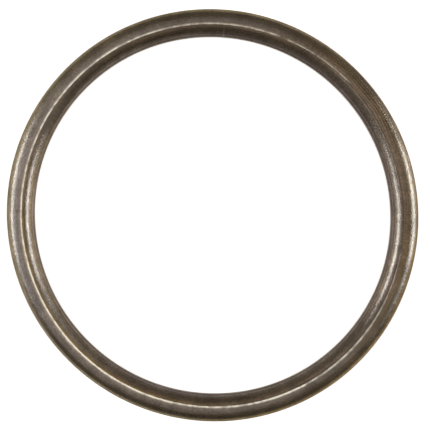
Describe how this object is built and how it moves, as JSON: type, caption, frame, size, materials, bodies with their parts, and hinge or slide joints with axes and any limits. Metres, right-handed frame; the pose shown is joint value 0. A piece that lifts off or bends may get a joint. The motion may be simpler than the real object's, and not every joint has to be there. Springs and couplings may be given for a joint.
{
  "type": "exhaust gasket",
  "caption": "Hollow round ring rolled from thin sheet steel, lapped along its crown, that is crushed between an exhaust port and its pipe to seal them.",
  "frame": {"origin": "centre of the flat seat, in the plane that meets the flange", "axes": "+Z along the pipe's axis, from the seat towards the crown with the lapped seam"},
  "size_m": [0.07, 0.07, 0.0036],
  "materials": {
    "steel": "satin, heat-darkened"
  },
  "bodies": {
    "root": {"gasket_ring": "steel"}
  },
  "joints": []
}
